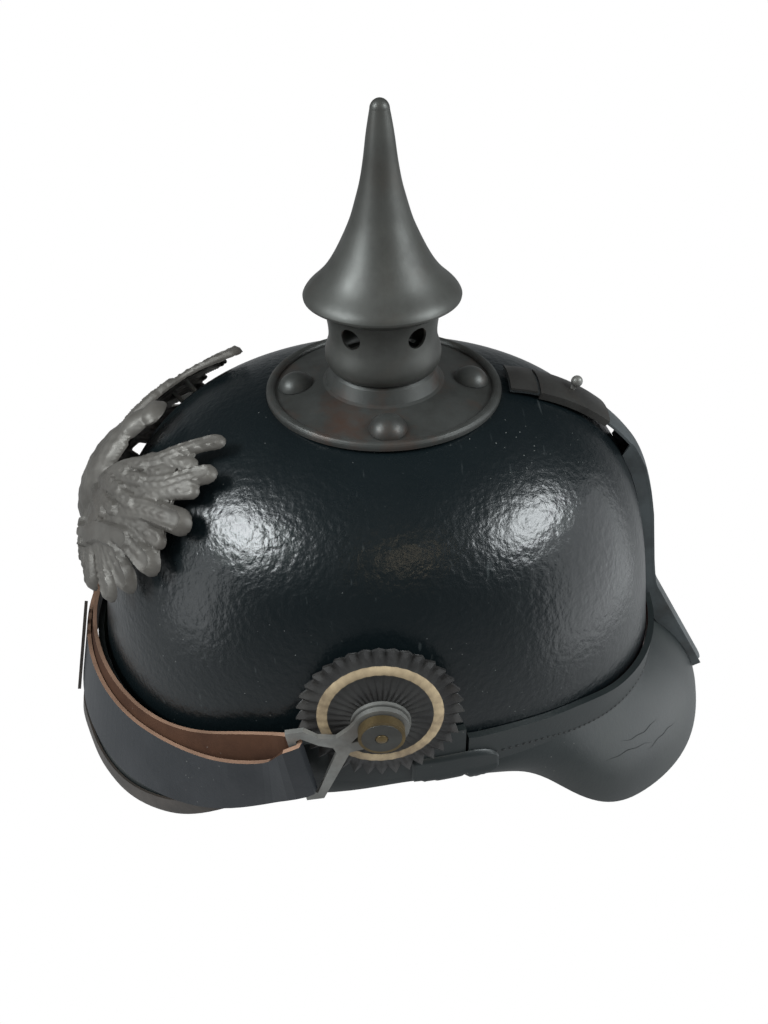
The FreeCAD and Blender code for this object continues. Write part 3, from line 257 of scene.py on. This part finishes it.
def make_mesh(name, points, faces, materials, body, slots=None, angle=35.0):
    mesh = bpy.data.meshes.new(name)
    mesh.from_pydata([tuple(p) for p in points], [], faces)
    mesh.validate()
    obj = bpy.data.objects.new(name, mesh)
    scene.collection.objects.link(obj)
    for material in materials:
        mesh.materials.append(material)
    if slots:
        for face, slot in zip(mesh.polygons, slots):
            face.material_index = slot
    smooth(obj, angle)
    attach(obj, body)
    return obj


def tree_of(name):
    mesh = nodes[name].data
    return BVHTree.FromPolygons([v.co for v in mesh.vertices], [p.vertices for p in mesh.polygons])


# Undersides of visor and guard, and the two sides of the strap

def faces_in(centre, normal):
    """True where a flap's face looks at the head and isn't its upper edge."""
    middle = at(0, SHELL["centre"], 0)
    inward = normal.x * (centre.x - middle.x) + normal.y * (centre.y - middle.y)
    return inward < -0.01 and normal.z < 0.35


for name, underside in (("front_visor", GREEN), ("neck_guard", REDLAC)):
    mesh = nodes[name].data
    mesh.materials.append(underside)
    for face in mesh.polygons:
        if faces_in(face.center, face.normal):
            face.material_index = 1

LOOP_ROOM = 24 * MM         # widest room between the strap's two layers
EDGE_SLOPE = 0.72           # of the normals of its cut edges
strap_tree = tree_of("chinstrap")


def in_loop(centre, normal):
    """True on the strap's flesh side, which faces its own other layer."""
    side = normal.cross(Vector((0, 0, 1)))
    for lean in (0.0, 0.5, -0.5, 1.0, -1.0):
        for rise in (0.0, 0.4, 0.9, -0.4, -1.0, -2.0):
            way = (normal + side * lean + Vector((0, 0, rise))).normalized()
            if strap_tree.ray_cast(centre + normal * 0.2 * MM, way, LOOP_ROOM)[0] is not None:
                return True
    return False


strap_mesh = nodes["chinstrap"].data
strap_mesh.materials.append(FLESH)
strap_mesh.materials.append(TAN_EDGE)
for face in strap_mesh.polygons:
    if abs(face.normal.z) > EDGE_SLOPE:
        face.material_index = 2
    elif in_loop(face.center, face.normal):
        face.material_index = 1


# Cockades: pleated toothed discs with a painted ring

def cockade(name, side, ring_material, body):
    pleats = 36
    rings = (5.3, 9.2, 11.5, 15.6, 16.1, 18.2, 18.7, 21.0, 22.7, 24.7)
    ring_edges, ring_flat, ring_painted = (3, 4, 5, 6), (4, 5), (3, 4, 5)
    bore, radius = rings[0], rings[-1]
    seat, dish, rim_lift, thick, foil, tilt = 90.55, 2.6, 0.4, 1.2, 0.9, math.radians(6.5)
    teeth = {len(rings) - 2: 0.35, len(rings) - 1: 0.95}
    points, faces, slots = [], [], []
    steps = pleats * 4
    for back in (0, 1):
        for k, r in enumerate(rings):
            for i in range(steps):
                a = 2 * math.pi * i / steps
                wave = math.cos(pleats * a)
                reach = r - (1.0 - wave) * teeth.get(k, 0.0)
                share = (r - bore) / (radius - bore)
                depth = 0.15 if k == 0 else 0.25 + 0.75 * share
                if k in ring_edges:
                    depth *= 0.15
                x = dish - (dish - rim_lift) * share + thick + depth * 0.75 * wave
                if k in ring_flat:
                    x += 0.35
                if back:
                    x -= foil
                p = Vector((x - dish, reach * math.sin(a), reach * math.cos(a)))
                p.rotate(Euler((0, -tilt, 0)))
                points.append(at(side * (p.x + dish + seat), POST[0] + p.y, POST[1] + p.z))
    count = len(rings)

    def index(back, k, i):
        return (back * count + k) * steps + i % steps

    for i in range(steps):
        for k in range(count - 1):
            chipped = side > 0 and 82 <= i <= 89 and k == 5
            slots += [1 if k in ring_painted and not chipped else 0, 0]
            quad = [index(0, k, i), index(0, k, i + 1), index(0, k + 1, i + 1), index(0, k + 1, i)]
            other = [index(1, k, i), index(1, k + 1, i), index(1, k + 1, i + 1), index(1, k, i + 1)]
            faces += [quad, other] if side < 0 else [quad[::-1], other[::-1]]
        for k in (0, count - 1):
            faces.append([index(0, k, i), index(0, k, i + 1), index(1, k, i + 1), index(1, k, i)])
            slots.append(0)
    made = make_mesh(name + "_pleated", points, faces, [BLACKED, ring_material], body, slots, 60)
    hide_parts(name)


cockade("cockade_left", 1, CREAM, "helmet")
cockade("cockade_right", -1, CREAM, "helmet")


# Knob faces on the posts

def disc_stack(name, x, layers, material, body):
    """Turned disc round the posts' axis from (radius, x) points."""
    points, faces = [], []
    steps = 64
    for r, dx in layers:
        for i in range(steps):
            a = 2 * math.pi * i / steps
            points.append(at(math.copysign(abs(x) + dx, x),
                             POST[0] + r * math.sin(a), POST[1] + r * math.cos(a)))
    for k in range(len(layers) - 1):
        for i in range(steps):
            j = (i + 1) % steps
            quad = [k * steps + i, k * steps + j, (k + 1) * steps + j, (k + 1) * steps + i]
            faces.append(quad if x < 0 else quad[::-1])
    return make_mesh(name, points, faces, [material], body, angle=40)


CAP_FACE = [(5.9, -0.2), (5.8, 0.12), (1.9, 0.30), (1.8, -0.1)]
CAP_PIP = [(1.7, -0.1), (1.6, 0.5), (1.0, 0.85), (0.02, 0.95)]
cap_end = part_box("post_cap_left")[1][0] * 1000
for side, x in (("left", cap_end), ("right", -cap_end)):
    disc_stack("cap_face_" + side, x, CAP_FACE, SPIKE, "helmet")
    disc_stack("cap_pip_" + side, x, CAP_PIP, BRASS, "helmet")


# Eagle plate: feathers, tail, breast, bare ribbon and crowned head, embossed. Its points (x, h) lie in
# a plane that leans back 45 degrees and are cast onto a skin that stands off the shell.

BREAST, BREAST_RISE = 5.5, 0.45     # further stand-off at the middle, and where it is reached
STAND_OFF = 4.35


def skin_point(x, h):
    """Point of the plate's face at (x, h) of the leaning plane."""
    s, off = SHELL, STAND_OFF
    root = math.sqrt(0.5)
    low, high = 10.0, 150.0
    for _ in range(34):
        t = 0.5 * (low + high)
        y, z = (h - t) * root, (h + t) * root
        rise = min(max((z - s["equator"]) / (-s["equator"] + off), 0.0), 0.9999)
        half, length = s["width"] + off, s["length"] * (1 + s["front"] * (1 - rise) ** 2) + off
        across, ahead = x / half, -(y - s["centre"] * (1 - rise)) / length
        a = math.atan2(across, ahead)
        c = max(math.cos(a), 0.0)
        power = s["side"] + (s["end"] - s["side"]) * c * c
        reach = (1 - rise ** power) ** (1 / power)
        push = BREAST * c ** 6 * reach * min(rise / BREAST_RISE, 1.0) ** 1.5
        ahead = -(y + push - s["centre"] * (1 - rise)) / length
        if math.hypot(across, ahead) > reach or z > off:
            high = t
        else:
            low = t
    return Vector((x, (h - t) * root, (h + t) * root))


# Feathers of the left wing as (points, half width, base height, rim height), lowest layer first
FEATHERS = [
    (((12, -94), (30, -70)), 8.5, 0.3, 0.0), (((15, -98), (40, -77)), 7.0, 0.3, 0.0),
    (((18, -101), (38, -90)), 7.0, 0.3, 0.0), (((24, -66), (34, -58)), 4.0, 0.3, 0.0),
    (((14, -97), (25, -111)), 3.0, 0.5, 0.5), (((20, -97), (35, -107.5)), 3.6, 0.7, 0.6),
    (((28, -93), (45.5, -98)), 4.0, 0.5, 0.7), (((32, -89), (50.5, -86.5)), 4.1, 0.8, 0.8),
    (((36, -79), (50.5, -67.5)), 2.8, 0.4, 0.4), (((35, -84), (45, -78), (53, -74)), 4.2, 1.0, 1.0),
    (((34, -73), (43.5, -51)), 2.5, 0.4, 0.4), (((33, -78), (41.5, -67), (50, -58)), 4.1, 0.9, 1.0),
    (((28, -74), (37.5, -58), (40.3, -45)), 3.2, 0.7, 0.5), (((24, -62), (34.5, -49)), 2.4, 0.3, 0.3),
    (((20, -75), (27, -58), (29.8, -40)), 2.7, 0.8, 0.5), (((16, -80), (22.5, -69)), 3.1, 1.0, 0.4),
    (((14, -87), (18, -79)), 3.4, 1.1, 0.4),
]
COVERTS = [(((17, -77), (26, -64)), 2.2, 1.8, 0.3), (((20, -78), (31, -66)), 2.2, 1.7, 0.3),
           (((21, -82), (35, -72)), 2.3, 1.7, 0.3), (((18, -79), (24, -71)), 2.0, 2.2, 0.3),
           (((20, -83), (28, -75)), 2.1, 2.3, 0.3), (((20, -87), (32, -80)), 2.2, 2.0, 0.3),
           (((16, -84), (23, -78)), 2.0, 2.6, 0.3), (((14, -91), (28, -87)), 2.3, 2.0, 0.3)]
TAIL = [(((0, -108), (0, -134)), 2.7, 0.8, 0.4), (((4, -108), (6.5, -132)), 2.7, 0.6, 0.4),
        (((8, -106), (13, -128)), 2.9, 0.4, 0.4), (((9, -101), (15, -117)), 3.4, 1.0, 0.4)]
RIBBON = [(14, -108), (20, -106), (25, -101), (30, -93), (35, -87.5), (43.5, -79)]
RIBBON_HALF = 3.1
BEAK = ((0, -69), (7, -73))
BREAST_DOWN = (0, -92, 12, 21)
# Breast, head and crown as (x, h, half width, half height, relief)
ROUNDS = [(0, -92, 13, 23, 6.0), (0, -70, 6.2, 9, 4.5), (0, -62, 6.5, 4.5, 3.4)]


def along(p, line):
    """Distance from p to a line through points, share of its length at the nearest place, and length."""
    best, place, total = 1e9, 0.0, 0.0
    for a, b in zip(line, line[1:]):
        run = (b[0] - a[0], b[1] - a[1])
        length = math.hypot(*run)
        t = min(max(((p[0] - a[0]) * run[0] + (p[1] - a[1]) * run[1]) / length ** 2, 0.0), 1.0)
        gap = math.hypot(p[0] - a[0] - run[0] * t, p[1] - a[1] - run[1] * t)
        if gap < best:
            best, place = gap, total + t * length
        total += length
    return best, place / total, total


def inside(x, h):
    """How far a point lies inside the plate's outline, negative outside."""
    p = (abs(x), h)
    best = -9.0
    for line, width, _, _ in FEATHERS + TAIL:
        gap, share, _ = along(p, line)
        best = max(best, width * (0.8 + 0.2 * share) - gap)
    for x0, h0, rx, rh, _ in ROUNDS:
        best = max(best, (1 - math.hypot((p[0] - x0) / rx, (h - h0) / rh)) * min(rx, rh))
    return best


def plume(p, line, width, base, rim):
    """One feather: hollow with a raised border, a shaft and barbs along it."""
    gap, share, length = along(p, line)
    w = width * (0.8 + 0.2 * share)
    if gap >= w:
        return 0.0
    u = gap / w
    value = base + 0.4 * share + 0.4 * math.sqrt(1 - u * u)
    value += rim * math.exp(-((u - 0.72) / 0.2) ** 2) * (0.35 + share)
    value += 0.45 * math.exp(-(u / 0.16) ** 2) * (share < 0.9)
    barb = math.sin((share * length - 1.3 * gap) * 1.9)
    return value + 0.28 * max(barb, 0.0) * (1 - u) * (0.02 < share < 0.9)


def relief(x, h):
    p = (abs(x), h)
    top = 0.3
    for feather in FEATHERS + COVERTS + TAIL:
        top = max(top, plume(p, *feather))
    for x0, h0, rx, rh, height in ROUNDS:
        top = max(top, height * math.sqrt(max(0.0, 1 - ((p[0] - x0) / rx) ** 2 - ((h - h0) / rh) ** 2)))
    gap, share, _ = along((x, h), BEAK)
    width = 2.0 * (1 - 0.5 * share)
    if gap < width:
        top = max(top, 3.4 * math.sqrt(1 - (gap / width) ** 2))
    gap, share, _ = along(p, RIBBON)
    if gap < RIBBON_HALF:
        fold = 0.35 * math.sin(9 * share)
        top = max(top, 2.5 + fold + 0.45 * (2.2 < gap) - 0.5 * (gap > 2.9))
    x0, h0, rx, rh = BREAST_DOWN
    if ((p[0] - x0) / rx) ** 2 + ((h - h0) / rh) ** 2 < 1:
        top += 0.28 * math.sin(1.15 * (p[0] - x0)) * math.sin(0.9 * (h - h0))
    return top


def plate_grid(step, width, height, floor):
    """Grid places inside the outline as {(column, row): (x, h, depth)}, the outermost ones moved onto it."""
    columns, rows = int(width / step), int(height / step)
    nudge = 0.05
    spots = {}
    for i in range(columns + 1):
        for k in range(rows + 1):
            x, h = (i - columns / 2) * step, floor + k * step
            depth = inside(x, h)
            if depth < -0.75 * step:
                continue
            if depth < 0.4 * step:
                gx, gh = (inside(x + nudge, h) - depth) / nudge, (inside(x, h + nudge) - depth) / nudge
                size = max(math.hypot(gx, gh), 0.5)
                x, h, depth = x - depth * gx / size ** 2, h - depth * gh / size ** 2, 0.0
            spots[(i, k)] = (x, h, depth)
    return spots


def eagle():
    spots = plate_grid(0.62, 118, 104, -138.5)
    number = {place: i for i, place in enumerate(spots)}
    front, back = [], []
    for x, h, depth in spots.values():
        base = skin_point(x, h)
        lift = relief(x, h) * (0.25 + 0.75 * min(depth / 1.1, 1.0))
        out = Vector((x * 0.45, base.y + 20, base.z + 60)).normalized()
        front.append(at(*(base + out * (0.4 + lift * 0.9))))
        back.append(at(*(base + out * (lift * 0.9 - 0.35))))
    count = len(front)
    made = {}
    corners = list(number) + [(i - 1, k) for i, k in number] + [(i, k - 1) for i, k in number]
    for i, k in corners:
        cell = ((i, k), (i + 1, k), (i + 1, k + 1), (i, k + 1))
        known = [number[c] for c in cell if c in number]
        if len(known) >= 3:
            made[tuple(sorted(known))] = known
    made = list(made.values())
    shell = made + [[count + v for v in reversed(f)] for f in made]
    borders = set()
    for f in made:
        for i, v in enumerate(f):
            borders.add((v, f[(i + 1) % len(f)]))
    for v, w in borders:
        if (w, v) not in borders:
            shell.append([w, v, count + v, count + w])
    obj = make_mesh("eagle_embossed", front + back, shell, [EAGLE], "helmet", angle=50)
    bm = bmesh.new()
    bm.from_mesh(obj.data)
    bmesh.ops.recalc_face_normals(bm, faces=bm.faces)
    bm.to_mesh(obj.data)
    bm.free()
    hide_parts("eagle_plate")


eagle()


# Stitches, laid on the leather's surface

guard_tree, visor_tree, shell_tree = tree_of("neck_guard"), tree_of("front_visor"), tree_of("skull_shell")


def on_surface(tree, angle, z):
    """Point and outward normal of a piece at an angle from the front, at a height."""
    a = math.radians(angle)
    way = Vector((math.sin(a), -math.cos(a), 0))
    start = at(0, SHELL["centre"], z) + way * 0.25
    point, normal, _, _ = tree.ray_cast(start, -way, 0.24)
    return point, normal


STITCH_LENGTH, STITCH_WIDTH, STITCH_GAP = 1.5 * MM, 0.55 * MM, 0.9 * MM
# One stitch as (along, across, lift) points, in lengths, widths and millimetres
STITCH = [(-0.5, 0, 0.0), (-0.3, 0.5, 0.1), (0.3, 0.5, 0.1), (0.5, 0, 0.0),
          (0.3, -0.5, 0.1), (-0.3, -0.5, 0.1), (-0.25, 0, 0.35), (0.25, 0, 0.35)]
STITCH_FACES = ((0, 1, 6), (1, 2, 7, 6), (2, 3, 7), (3, 4, 7), (4, 5, 6, 7), (5, 0, 6))


def stitches(name, tree, path):
    """Row of short rounded stitches along (angle, z) points."""
    points, faces = [], []
    line = []
    for (a0, z0), (a1, z1) in zip(path, path[1:]):
        for k in range(40):
            t = k / 40
            line.append((a0 + (a1 - a0) * t, z0 + (z1 - z0) * t))
    places = [on_surface(tree, a, z) for a, z in line]
    places = [(p, n) for p, n in places if p is not None]
    travelled = 0.0
    for (p, n), (q, _) in zip(places, places[1:]):
        travelled += (q - p).length
        if travelled < STITCH_LENGTH + STITCH_GAP:
            continue
        travelled = 0.0
        run = (q - p).normalized()
        across = n.cross(run).normalized()
        base = len(points)
        for u, w, lift in STITCH:
            points.append(p + run * u * STITCH_LENGTH + across * w * STITCH_WIDTH + n * lift * MM)
        for f in STITCH_FACES:
            faces.append([base + v for v in f])
    return make_mesh(name, points, faces, [THREAD], "helmet", angle=80)


GUARD_STITCHES = [(106.5, -84.6), (110, -85.2), (118.4, -86.4), (124.5, -88.4), (132, -92.5),
                  (143, -97.7), (155, -102.0), (168, -104.6), (180, -105.4)]
stitches("guard_stitches_left", guard_tree, GUARD_STITCHES)
stitches("guard_stitches_right", guard_tree, [(360 - a, z) for a, z in GUARD_STITCHES])
VISOR_STITCHES = [(0, -101.5), (20, -100.6), (35, -98.4), (50, -94.5), (62, -90.5), (72, -87.8)]
stitches("visor_stitches_left", visor_tree, VISOR_STITCHES)
stitches("visor_stitches_right", visor_tree, [(-a, z) for a, z in VISOR_STITCHES])


# Leather tongues where visor and guard meet, the turned-in sides of the spine, and fine cracks in the guard

def flap_place(angle, z):
    """Outermost point and normal of visor and guard at an angle and height."""
    hits = [on_surface(tree, angle, z) for tree in (guard_tree, visor_tree)]
    found = [hit for hit in hits if hit[0] is not None]
    return max(found, key=lambda hit: hit[0].x ** 2 + hit[0].y ** 2) if found else (None, None)


def tongue(name, mirror, first, last):
    """Leather overlap on the flaps between two angles, with a rounded rear end."""
    points, faces = [], []
    columns, rows, made = 36, 12, 0
    reach, rounded, leather_thick = 17, 0.6, 1.3 * MM
    for i in range(columns + 1):
        t = i / columns
        angle = first + (last - first) * t
        heights = [z / 2 for z in range(-160, -260, -1) if flap_place(angle, z / 2)[0] is not None]
        if not heights:
            continue
        made += 1
        top, low = heights[0] - 1.5, max(heights[-1], heights[0] - reach) + 0.2
        middle, half = 0.5 * (top + low), 0.5 * (top - low)
        close = math.sqrt(max(1 - max(0.0, (t - rounded) / (1 - rounded)) ** 2, 0.03))
        for k in range(rows + 1):
            z = middle + half * close * (2 * k / rows - 1)
            near = flap_place(angle, z)
            if near[0] is None:
                near = flap_place(angle, min(heights, key=lambda h: abs(h - z)))
            edge = min(k, rows - k, columns - i, i) == 0
            point = near[0] + near[1] * (0.1 * MM if edge else leather_thick)
            points.append(Vector((point.x * mirror, point.y, point.z)))
    for i in range(made - 1):
        for k in range(rows):
            a, b = i * (rows + 1) + k, (i + 1) * (rows + 1) + k
            quad = [a, b, b + 1, a + 1]
            faces.append(quad if mirror < 0 else quad[::-1])
    return make_mesh(name, points, faces, [FLAP], "helmet", angle=60)


tongue("flap_tongue_left", 1, 96.5, 114.0)
tongue("flap_tongue_right", -1, 96.5, 114.0)


def ribbon(name, lines, material, body, angle=60):
    """Strip through rows of points, each row the strip's section."""
    points = [p for line in lines for p in line]
    n = len(lines[0])
    faces = [[i * n + k, i * n + k + 1, (i + 1) * n + k + 1, (i + 1) * n + k]
             for i in range(len(lines) - 1) for k in range(n - 1)]
    return make_mesh(name, points, faces, [material], body, angle=angle)


# The spine's middle line behind the slider as (y, z): the end of its arc, down the shell, and along the guard
CREST = [(34 + 70.7 * math.sin(math.radians(a)), -70 + 70.7 * math.cos(math.radians(a))) for a in (49, 51.1)]
CREST += [(94.0, -34.0), (96.1, -39.5), (98.1, -45.0), (99.6, -50.5), (101.0, -56.0), (102.1, -61.7),
          (103.2, -67.5), (104.2, -72.7), (105.2, -78.0), (106.4, -83.5), (108.2, -91.0)]
CREST += [(108.2 + 28.0 * t / 8, -91.0 - 47.2 * t / 8) for t in range(1, 9)]
SIDE_OUTER, SIDE_INNER = 7.45, 6.75     # faces of its turned-in sides
DEEPEST = 9.0
for side in (1, -1):
    rows = []
    for k, (y, z) in enumerate(CREST):
        before, after = CREST[max(k - 1, 0)], CREST[min(k + 1, len(CREST) - 1)]
        run = Vector((after[0] - before[0], after[1] - before[1])).normalized()
        inward = Vector((run.y, -run.x))
        if inward.x > 0:
            inward = -inward
        start, way = at(side * 7.4, y, z), Vector((0, inward.x, inward.y))
        hits = [tree.ray_cast(start, way) for tree in (shell_tree, guard_tree)]
        near = [hit[3] * 1000 - 0.2 for hit in hits if hit[0] is not None]
        depth = max(min(near + [DEEPEST]), 1.2) if k else 1.8
        section = ((SIDE_OUTER, 1.0), (SIDE_OUTER, depth), (SIDE_INNER, depth), (SIDE_INNER, 1.0))
        rows.append([at(side * x, y + inward.x * d, z + inward.y * d) for x, d in section])
    ribbon("spine_side_" + ("left" if side > 0 else "right"), rows, SPINE, "helmet")

# Cracks from one (angle, z) to another, with the bend between them
CRACKS = [((136, -110), (149, -120), 1.5), ((141, -108), (153, -116), -1.2), ((147, -121), (158, -127), 1.0)]
for number, (start, end, bend) in enumerate(CRACKS):
    rows = []
    for k in range(25):
        t = k / 24
        a = start[0] + (end[0] - start[0]) * t
        z = start[1] + (end[1] - start[1]) * t + bend * math.sin(math.pi * t)
        p, n = on_surface(guard_tree, a, z + 0.25 * math.sin(17 * t + number))
        half = Vector((0, 0, 0.16 * MM * math.sin(math.pi * min(max(t, 0.04), 0.96))))
        rows.append([p + half + n * 0.06 * MM, p - half + n * 0.06 * MM])
    ribbon("leather_crack_%d" % number, rows, THREAD, "helmet")


# Rounded edges

def round_edges(name, width, segments, limit):
    bevel = nodes[name].modifiers.new("rounded", "BEVEL")
    bevel.width = width
    bevel.segments = segments
    bevel.limit_method = limit


for name in ("post_cap_left", "post_cap_right"):
    round_edges(name, 0.7 * MM, 3, "ANGLE")
for name in ("chinstrap_lug_left", "chinstrap_lug_right", "post_collar_left", "post_collar_right",
             "strap_buckle_left", "strap_buckle_right", "chinstrap", "vent_slider", "spine_head", "rear_spine"):
    round_edges(name, 0.22 * MM, 2, "ANGLE")


# Light: two soft boxes over the ends, two low ones, a small warm one, a wide one overhead, and a pale room

def soft_box(name, azimuth, elevation, distance, size, power, color=(1, 1, 1)):
    way = direction(azimuth, elevation)
    light = bpy.data.objects.new(name, bpy.data.lights.new(name, "AREA"))
    scene.collection.objects.link(light)
    light.data.shape = "RECTANGLE"
    light.data.size, light.data.size_y = size
    light.data.energy = power
    light.data.color = color
    light.location = at(0, 0, -50) + way * distance
    light.rotation_mode = "QUATERNION"
    light.rotation_quaternion = way.to_track_quat("Z", "Y")
    return light


soft_box("box_front", 17.2, 40.6, 1.4, (0.60, 0.42), 21.0, (0.93, 0.98, 1.0))
soft_box("box_rear", 161.9, 35.7, 1.4, (0.60, 0.42), 18.0, (0.93, 0.98, 1.0))
soft_box("box_low_front", 19.5, 3.5, 1.4, (0.5, 0.9), 2.6, (0.95, 0.98, 1.0))
soft_box("box_low_rear", 176, -6, 1.4, (1.3, 1.3), 7.0, (0.95, 0.98, 1.0))
soft_box("box_warm", 100.7, 48.3, 1.4, (0.30, 0.12), 0.5, (1.0, 0.82, 0.55))
soft_box("box_top", 90, 75, 1.6, (1.2, 1.2), 12.0).visible_glossy = False

world = bpy.data.worlds.new("room")
scene.world = world
world.use_nodes = True
tree = world.node_tree
tree.nodes.clear()
output = tree.nodes.new("ShaderNodeOutputWorld")


def background(color, strength):
    made = tree.nodes.new("ShaderNodeBackground")
    made.inputs[0].default_value = (*color, 1.0)
    made.inputs[1].default_value = strength
    return made


path = tree.nodes.new("ShaderNodeLightPath")
coords = tree.nodes.new("ShaderNodeTexCoord")
split = tree.nodes.new("ShaderNodeSeparateXYZ")
tree.links.new(coords.outputs["Generated"], split.inputs[0])
fade = tree.nodes.new("ShaderNodeMapRange")
for key, value in ((1, -0.5), (2, 0.35), (3, 0.50), (4, 0.045)):
    fade.inputs[key].default_value = value
tree.links.new(split.outputs[2], fade.inputs[0])
reflected = background((0.95, 0.98, 1.0), 1.0)
tree.links.new(fade.outputs[0], reflected.inputs[1])
diffuse = background((1.0, 1.0, 1.0), 0.9)
white = background((1.0, 1.0, 1.0), 1.0)


def choose(share, no, yes):
    made = tree.nodes.new("ShaderNodeMixShader")
    for socket, value in zip(made.inputs, (share, no, yes)):
        tree.links.new(value, socket)
    return made.outputs[0]


lit = choose(path.outputs["Is Glossy Ray"], diffuse.outputs[0], reflected.outputs[0])
seen = choose(path.outputs["Is Camera Ray"], lit, white.outputs[0])
tree.links.new(seen, output.inputs[0])
